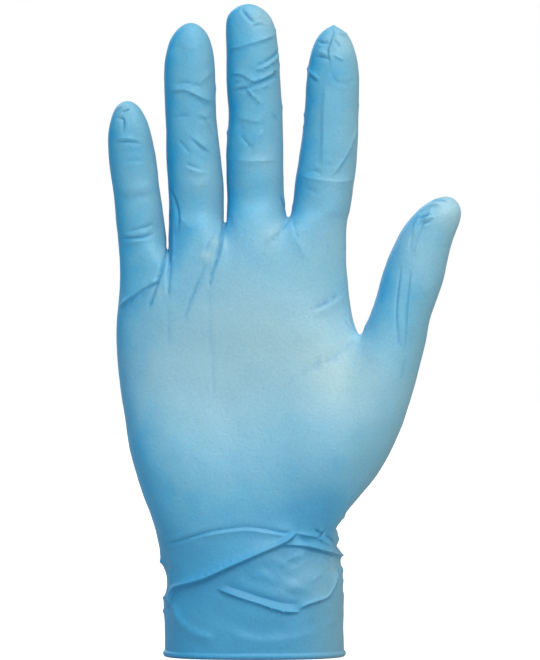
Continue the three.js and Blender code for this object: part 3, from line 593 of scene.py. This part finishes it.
def liftOf(places, normals, folds):
    # the height of all folds, and how much painted shade each place gets in the folds' valleys
    lift, creaseShade = np.zeros(len(places)), np.zeros(len(places))
    for number, fold in enumerate(folds):
        skirtWidth = foldShape["skirtWidth"] * narrower(fold)
        reach = max(fold["left"], fold["right"] * foldShape["footEnd"], skirtWidth)
        near = nearRun(places, fold["run"], reach)
        if not len(near):
            continue
        far, offset, along, share = awayFrom(places[near], fold["run"])
        leftWay = np.cross(normals[near], along)
        signed = np.where((offset * leftWay).sum(1) > 0, far, -far)
        length = np.sqrt(((fold["run"][1:] - fold["run"][:-1]) ** 2).sum(1)).sum()
        fade = min(foldShape["endShare"], foldShape["endMm"] * mm / length)
        ends = np.clip(np.minimum(share, 1 - share) / fade, 0, 1)
        ends = ends * ends * (3 - 2 * ends)
        rhythm = np.sin(share * foldShape["wobbleTurns"] + number * foldShape["wobbleStep"])
        ends *= 1 + foldShape["wobble"] * rhythm
        width = np.where(signed > 0, fold["left"], fold["right"])
        if isCrisp(fold):
            body = np.clip(1 - far / width, 0, None) ** 2
            if fold["rise"] > 0:
                body = (1 - foldShape["skirt"] / 2) * body + foldShape["skirt"] * bell(far / skirtWidth)
            else:
                beside = far - foldShape["shoulderPlace"] * width
                body = body - foldShape["shoulder"] * bell(beside / (foldShape["shoulderWidth"] * width))
        else:
            body = bell(far / width)
        foot = bell((signed + fold["right"]) / (fold["right"] * foldShape["footWidth"]))
        lift[near] += (fold["rise"] * body - fold["dip"] * foot) * ends
        # painted shade: the valleys of the folds get a deeper blue
        valley = np.clip(-min(fold["rise"], 0) * body, 0, None) + fold["dip"] * foot
        full = 1 if isCrisp(fold) else foldShape["broadCreaseShade"]
        creaseShade[near] += ends * valley / (foldShape["creaseShadeDepth"] * mm) * full
    return lift, np.clip(creaseShade, 0, 1)


def applyFolds(mesh):
    places = np.array([v.co for v in mesh.verts])
    normals = np.array([v.normal for v in mesh.verts])
    lift, creaseShade = liftOf(places, normals, folds)
    nearRim = np.clip((places[:, 2] - film["rim"]) / film["foldFreeRim"], 0, 1)
    layers = mesh.verts.layers.float
    creaseShadeMark, leftSideShadeMark, rightSideShadeMark, looseMark = (layers.new(n) for n in ("creaseShade", "leftSideShade", "rightSideShade", "loose"))
    for vert, rise, deep, share in zip(mesh.verts, lift, creaseShade, nearRim):
        # painted shade, darker towards the cuff
        vert[looseMark] = min(max((looseCuff["from"] - vert.co.z) / looseCuff["over"], 0), 1)
        # painted shade on the sides: this mark is for faces turned to -x
        vert[leftSideShadeMark] = max(0, -vert.normal.x)
        # painted shade on the sides: this mark is for faces turned to +x
        vert[rightSideShadeMark] = max(0, vert.normal.x)
        swell = sum(height * noise.noise(vert.co / (size * mm)) for size, height in unevenness) * mm
        vert.co += vert.normal * (rise + swell) * share
        vert[creaseShadeMark] = deep
    mesh.normal_update()


def soften(mesh, folds):
    # takes the last unevenness out of the steep edges
    marked = besideFolds(np.array([v.co for v in mesh.verts]), folds, softenReach)
    verts = [v for v, m in zip(mesh.verts, marked) if m]
    for _ in range(foldShape["softenRounds"]):
        bmesh.ops.smooth_vert(mesh, verts=verts, factor=foldShape["softenFactor"],
                              use_axis_x=True, use_axis_y=True, use_axis_z=True)
    mesh.normal_update()


applyFolds(outer)
soften(outer, folds)
applyFolds(lining)
print("folds raised")

# The cuff's rolled bead joins the outer skin and the lining in one closed film
bead = {
    "radius": 1.2 * mm,
    "steps": 16,
    "waver": 0.07,  # share of the radius
    "waverSize": 7 * mm,
}


def closeWithBead(whole, lining):
    # grows the outer skin's rim round the bead and joins it to the lining
    bmesh.ops.reverse_faces(lining, faces=lining.faces)
    spare = bpy.data.meshes.new("lining")
    lining.to_mesh(spare)
    lining.free()
    outwardMark = whole.verts.layers.float_vector.new("outward")
    startMark = whole.verts.layers.float_vector.new("start")
    rim = [e for e in whole.edges if e.is_boundary]
    for vert in {v for e in rim for v in e.verts}:
        flat = Vector((vert.normal.x, vert.normal.y, 0)).normalized()
        vert[outwardMark], vert[startMark] = flat, vert.co
    whole.from_mesh(spare)
    bpy.data.meshes.remove(spare)
    rimSet = set(rim)
    innerRim = [e for e in whole.edges if e.is_boundary and e not in rimSet]
    startAngle = math.acos(film["wall"] / 2 / bead["radius"])
    for step in range(bead["steps"] + 1):
        angle = startAngle - step / bead["steps"] * (math.pi + 2 * startAngle)
        grown = bmesh.ops.extrude_edge_only(whole, edges=rim)["geom"]
        points = {v for v in grown if isinstance(v, bmesh.types.BMVert)}
        for vert in points:
            outward, start = Vector(vert[outwardMark]), Vector(vert[startMark])
            radius = bead["radius"] * (1 + bead["waver"] * noise.noise(start / bead["waverSize"]))
            centre = start - outward * film["wall"] / 2
            centre.z = radius
            vert.co = centre + radius * (math.cos(angle) * outward + math.sin(angle) * Vector((0, 0, 1)))
        rim = [e for e in grown if isinstance(e, bmesh.types.BMEdge) and all(v in points for v in e.verts)]
    bmesh.ops.bridge_loops(whole, edges=rim + innerRim)
    manySided = [f for f in whole.faces if len(f.verts) > 4]
    bmesh.ops.triangulate(whole, faces=manySided)
    bmesh.ops.recalc_face_normals(whole, faces=whole.faces)
    for face in whole.faces:
        face.smooth = True


whole = outer
closeWithBead(whole, lining)
openEdges = sum(e.is_boundary or not e.is_manifold for e in whole.edges)
print("film closed:", sum(len(f.verts) - 2 for f in whole.faces), "triangles,", openEdges, "open edges")

# Spots of colour, of painted highlight and of painted shade, as (column, row, reach in mm, amount)
# Where the film is stretched tight over the hand it is thin and paler; these spots also hold painted
# highlights
stretchAndHighlightSpots = [
    (335, 345, 15, 0.12), (352, 385, 18, 0.7), (300, 330, 22, 0.32), (240, 290, 26, 0.25),
    (449, 208, 9, 0.75), (190, 320, 22, 0.15), (333, 180, 7, 0.25), (262, 160, 6, 0.2),
    (197, 182, 6, 0.2), (137, 189, 6, 0.15), (342, 40, 7, 0.4), (262, 14, 6, 0.4), (425, 260, 9, 0.3),
    (404, 236, 7, 0.35), (330, 240, 12, 0.3), (123, 106, 5, 0.3), (250, 370, 30, 0.42),
    (185, 400, 22, 0.28), (240, 450, 22, 0.12), (330, 455, 20, 0.12), (335, 125, 14, 0.15),
    (412, 275, 10, 0.15), (150, 370, 16, 0.2), (275, 232, 4.5, 0.28), (264, 242, 4, 0.2),
    (214, 241, 2.2, 0.4), (207, 255, 2.2, 0.4), (230, 244, 5, 0.15), (160, 292, 3, 0.25),
    (303, 574, 7, 0.17), (286, 586, 5, 0.12), (322, 592, 4, 0.16), (331, 568, 4, 0.2),
    (270, 546, 6, 0.12),
]
# Painted shade above the cuff, deep blue
looseSpots = [(325, 503, 9, 0.9), (295, 512, 10, 0.6), (250, 515, 10, 0.25)]
# These spots take the painted side shade on the thumb's side away again, by their negative amounts
rightSideShadeCuts = [(325, 508, 11, -0.8), (300, 518, 9, -0.4), (330, 535, 6, -0.4)]
# Painted shade at these spots, deepest blue: in the cuff's folds and in corners at the fingers' roots
creaseShadeSpots = [
    (322, 512, 8, 0.5), (300, 520, 6, 0.35), (203, 592, 6, 0.45), (228, 581, 5, 0.4), (250, 573, 4, 0.3),
    (330, 533, 3, 0.4), (335, 545, 2.5, 0.4), (285, 212, 3, 0.6), (281, 200, 4, 0.3), (236, 228, 5, 0.3),
    (174, 232, 4, 0.45), (183, 226, 4, 0.25), (220, 236, 3, 0.35), (312, 222, 5, 0.2),
    (130, 305, 5, 0.25),
]


def markSpots(mesh, name, table):
    # adds round patches with soft edges to one of the film's marks, which the material reads
    mark = mesh.verts.layers.float.get(name) or mesh.verts.layers.float.new(name)
    spots = [(ontoGlove(fromPixel(c, r), eye), reach * mm, amount) for c, r, reach, amount in table]
    for vert in mesh.verts:
        total = 0
        for spot, reach, amount in spots:
            total += amount * math.exp(-((vert.co - spot).length / reach) ** 2)
        vert[mark] = min(vert[mark] + total, 1)


markSpots(whole, "stretchAndHighlight", stretchAndHighlightSpots)
markSpots(whole, "loose", looseSpots)
markSpots(whole, "rightSideShade", rightSideShadeCuts)
markSpots(whole, "creaseShade", creaseShadeSpots)
filmMesh = bpy.data.meshes.new("gloveFilm")
whole.to_mesh(filmMesh)
whole.free()
gloveFilm = addObject("gloveFilm", filmMesh)
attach(gloveFilm, "root")
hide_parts("glove")
print("glove piece made")

nitrileLook = {
    "leftSideShade": "#129AD0",  # painted shade on the sides turned to -x, the little finger's side
    "even": "#58A7CC",
    "rightSideShade": "#6C9CB0",  # painted shade, greyer, on the sides turned to +x, the thumb's side
    "loose": "#3494C4",  # painted shade towards the cuff
    # paler where the film is stretched thin, and painted highlight
    "paleAndHighlight": "#98C0CE",
    # painted shade in the folds' valleys and at the spots of painted shade
    "creaseShadeColor": "#1583BA",
    "evenFrom": (0.2, 0.95),  # from how far a face turns aside to where it gets all of the painted side shade
    "evenMost": 0.95,
    "cloudShift": (-0.3, 0.25),  # how far the clouds shift that
    "rightSideShadeTo": 0.95,  # so far turned to the thumb's side, a face has all of the painted shade that it gets
    "rightSideShadeMost": 0.65,
    "looseMost": 0.85,
    "creaseShadeMost": 0.55,
    "noiseSpan": (0.3, 0.7),  # between these a noise does nearly all its work
    "speck": 0.06,  # how much the mottling lightens and darkens
    "cloudMm": 9,
    "mottleMm": 0.8,
    "grainMm": 1.0,  # the real pores are too fine to show, so the grain is drawn this coarse
    "creaseMm": 2.6,
    "creaseDistortion": 0.6,
    "creaseDepth": 0.16,  # mm
    "creaseStrength": 0.6,
    "grainDepth": 0.11,
    "grainStrength": 0.8,
    "roughness": 0.58,
    "shineSpan": (-0.05, 0.06),
    "ior": 1.5,
    "subsurface": 0.12,
    "subsurfaceMm": 1.5,
    "subsurfaceRadius": (0.4, 0.8, 1.0),
    "coat": 0.15,
    "coatRoughness": 0.5,
}


def dippedNitrile(look):
    # nitrile rubber film, dipped on a former and chlorinated, which gives the eye a satin skin, faintly
    # mottled and grained, paler where it is stretched thin, with painted highlights there, and with painted
    # shade: deeper blue in the folds' valleys, on the sides and towards the cuff
    material = bpy.data.materials.new("dippedNitrileFilm")
    material.use_nodes = True
    tree = material.node_tree
    tree.nodes.clear()
    place = addNode(tree, "ShaderNodeTexCoord").outputs["Object"]
    marks = {}
    for name in ("stretchAndHighlight", "creaseShade", "leftSideShade", "rightSideShade", "loose"):
        marks[name] = addNode(tree, "ShaderNodeAttribute", attribute_name=name).outputs["Fac"]
    noises = {}
    patterns = (("cloud", 2, 0, "FBM"), ("mottle", 3, 0, "FBM"), ("grain", 2, 0, "FBM"),
                ("crease", 2, look["creaseDistortion"], "RIDGED_MULTIFRACTAL"))
    for name, detail, distortion, kind in patterns:
        values = {"Scale": 1 / (look[name + "Mm"] * mm), "Detail": detail, "Distortion": distortion}
        noises[name] = addNode(tree, "ShaderNodeTexNoise", values, {"Vector": place}, noise_type=kind)
    lowNoise, highNoise = look["noiseSpan"]
    cloud = noises["cloud"].outputs["Fac"]

    # painted shade: the sides turned to -x are deepest blue, and clouds blur where it starts
    flatShare = addNode(tree, "ShaderNodeMapRange",
                        {"From Min": look["evenFrom"][0], "From Max": look["evenFrom"][1],
                         "To Min": look["evenMost"], "To Max": 0},
                        {"Value": marks["leftSideShade"]}, interpolation_type="SMOOTHSTEP")
    cloudShare = addNode(tree, "ShaderNodeMapRange",
                         {"From Min": lowNoise, "From Max": highNoise,
                          "To Min": look["cloudShift"][0], "To Max": look["cloudShift"][1]}, {"Value": cloud})
    evenShare = addNode(tree, "ShaderNodeMath", {},
                        {0: flatShare.outputs["Result"], 1: cloudShare.outputs["Result"]},
                        operation="ADD", use_clamp=True)
    rightSideShadeShare = addNode(tree, "ShaderNodeMapRange",
                        {"From Min": 0, "From Max": look["rightSideShadeTo"], "To Min": 0, "To Max": look["rightSideShadeMost"]},
                        {"Value": marks["rightSideShade"]}, interpolation_type="SMOOTHSTEP")
    looseShare = addNode(tree, "ShaderNodeMath", {1: look["looseMost"]}, {0: marks["loose"]},
                         operation="MULTIPLY")
    creaseShadeShare = addNode(tree, "ShaderNodeMath", {1: look["creaseShadeMost"]}, {0: marks["creaseShade"]},
                        operation="MULTIPLY")
    # each mix lays colour 7 over colour 6 by share 0
    body = addNode(tree, "ShaderNodeMix", {6: sRgb(look["leftSideShade"]), 7: sRgb(look["even"])},
                   {0: evenShare.outputs[0]}, data_type="RGBA")
    # the layers in turn: painted shade towards the cuff, painted shade on the sides turned to +x, paler
    # stretched film with painted highlights, painted shade in the folds
    layered = ((look["loose"], looseShare.outputs[0]), (look["rightSideShade"], rightSideShadeShare.outputs["Result"]),
               (look["paleAndHighlight"], marks["stretchAndHighlight"]), (look["creaseShadeColor"], creaseShadeShare.outputs[0]))
    for color, share in layered:
        body = addNode(tree, "ShaderNodeMix", {7: sRgb(color)}, {0: share, 6: body.outputs[2]},
                       data_type="RGBA")
    speck = addNode(tree, "ShaderNodeMapRange",
                    {"From Min": lowNoise, "From Max": highNoise,
                     "To Min": 1 - look["speck"], "To Max": 1 + look["speck"]},
                    {"Value": noises["mottle"].outputs["Fac"]})
    color = addNode(tree, "ShaderNodeHueSaturation", {},
                    {"Value": speck.outputs["Result"], "Color": body.outputs[2]})

    # satin, with a fine net of creases and a grain over it
    shine = addNode(tree, "ShaderNodeMapRange",
                    {"From Min": lowNoise, "From Max": highNoise,
                     "To Min": look["roughness"] + look["shineSpan"][0],
                     "To Max": look["roughness"] + look["shineSpan"][1]}, {"Value": cloud})
    creaseBump = addNode(tree, "ShaderNodeBump",
                         {"Strength": look["creaseStrength"], "Distance": look["creaseDepth"] * mm},
                         {"Height": noises["crease"].outputs["Fac"]})
    grainBump = addNode(tree, "ShaderNodeBump",
                        {"Strength": look["grainStrength"], "Distance": look["grainDepth"] * mm},
                        {"Height": noises["grain"].outputs["Fac"], "Normal": creaseBump.outputs["Normal"]})
    surface = addNode(tree, "ShaderNodeBsdfPrincipled",
                      {"IOR": look["ior"], "Subsurface Weight": look["subsurface"],
                       "Subsurface Scale": look["subsurfaceMm"] * mm,
                       "Subsurface Radius": look["subsurfaceRadius"], "Coat Weight": look["coat"],
                       "Coat Roughness": look["coatRoughness"]},
                      {"Base Color": color.outputs["Color"], "Roughness": shine.outputs["Result"],
                       "Normal": grainBump.outputs["Normal"]})
    addNode(tree, "ShaderNodeOutputMaterial", {}, {"Surface": surface.outputs["BSDF"]})
    return material


gloveFilm.data.materials.append(dippedNitrile(nitrileLook))
print("material made")

studio = {
    "floorSize": 12,
    "floorColor": "#BFBFBD",
    "floorLift": 0.8,  # white that only the camera sees, so that the floor doesn't flood the glove from below
    "backColor": "#FFFFFF",
    "backStrength": 1.0,
    "fillLeft": "#C8E9FF",
    "fillRight": "#FFDDBE",
    "fillFrom": (0.20, -0.80, 0.56),
    "fillWeak": 0.30,  # from the side away from fillFrom
    "fillStrong": 0.88,
    "sunFrom": (0.12, -0.20, 0.95),  # the overhead light, which also keeps the floor white
    "sunColor": "#FFFDF8",
    "sunPower": 1.0,
    "sunAngle": 30,
}
# Soft boxes, as (name, place, width, power in watts, colour), all aimed at the glove's middle
softBoxes = [
    ("keyBox", (0.30, -0.70, 0.66), 0.42, 5, "#FFF8F0"),
    ("backBox", (-0.7, 1.6, 1.0), 1.2, 14, "#F6FAFF"),
]


def makeStudio():
    ground = bmesh.new()
    bmesh.ops.create_grid(ground, x_segments=1, y_segments=1, size=studio["floorSize"] / 2)
    sheet = bpy.data.meshes.new("paperFloor")
    ground.to_mesh(sheet)
    ground.free()
    floor = addObject("paperFloor", sheet)
    paper = bpy.data.materials.new("whitePaper")
    paper.use_nodes = True
    tree = paper.node_tree
    tree.nodes.clear()
    matt = addNode(tree, "ShaderNodeBsdfDiffuse", {"Color": sRgb(studio["floorColor"])})
    seen = addNode(tree, "ShaderNodeLightPath").outputs["Is Camera Ray"]
    lift = addNode(tree, "ShaderNodeMath", {1: studio["floorLift"]}, {0: seen}, operation="MULTIPLY")
    glow = addNode(tree, "ShaderNodeEmission", {}, {"Strength": lift.outputs[0]})
    both = addNode(tree, "ShaderNodeAddShader", {}, {0: matt.outputs[0], 1: glow.outputs[0]})
    addNode(tree, "ShaderNodeOutputMaterial", {}, {"Surface": both.outputs[0]})
    floor.data.materials.append(paper)
    aim = (cadLow + cadHigh) / 2
    for name, place, width, power, color in softBoxes:
        lamp = bpy.data.lights.new(name, "AREA")
        lamp.size, lamp.energy, lamp.color = width, power, sRgb(color)[:3]
        box = addObject(name, lamp)
        box.location = place
        box.rotation_euler = (aim - Vector(place)).to_track_quat("-Z", "Y").to_euler()
    sun = bpy.data.lights.new("softSun", "SUN")
    sun.energy, sun.angle = studio["sunPower"], math.radians(studio["sunAngle"])
    sun.color = sRgb(studio["sunColor"])[:3]
    overhead = addObject("softSun", sun)
    overhead.rotation_euler = Vector(studio["sunFrom"]).to_track_quat("Z", "Y").to_euler()
    world = bpy.data.worlds.new("studio")
    bpy.context.scene.world = world
    world.use_nodes = True
    tree = world.node_tree
    tree.nodes.clear()
    way = addNode(tree, "ShaderNodeTexCoord").outputs["Generated"]
    facing = addNode(tree, "ShaderNodeVectorMath", {1: Vector(studio["fillFrom"]).normalized()}, {0: way},
                     operation="DOT_PRODUCT")
    strength = addNode(tree, "ShaderNodeMapRange",
                       {"From Min": -1, "From Max": 1,
                        "To Min": studio["fillWeak"], "To Max": studio["fillStrong"]},
                       {"Value": facing.outputs["Value"]})
    across = addNode(tree, "ShaderNodeSeparateXYZ", {}, {0: way}).outputs["X"]
    side = addNode(tree, "ShaderNodeMapRange", {"From Min": -1, "From Max": 1}, {"Value": across})
    tint = addNode(tree, "ShaderNodeMix", {6: sRgb(studio["fillLeft"]), 7: sRgb(studio["fillRight"])},
                   {0: side.outputs["Result"]}, data_type="RGBA")
    fill = addNode(tree, "ShaderNodeBackground", {},
                   {"Color": tint.outputs[2], "Strength": strength.outputs["Result"]})
    back = addNode(tree, "ShaderNodeBackground",
                   {"Color": sRgb(studio["backColor"]), "Strength": studio["backStrength"]})
    seen = addNode(tree, "ShaderNodeLightPath").outputs["Is Camera Ray"]
    both = addNode(tree, "ShaderNodeMixShader", {}, {0: seen, 1: fill.outputs[0], 2: back.outputs[0]})
    addNode(tree, "ShaderNodeOutputWorld", {}, {"Surface": both.outputs[0]})


makeStudio()
bpy.context.scene.view_settings.view_transform = "Standard"
print("studio lit")
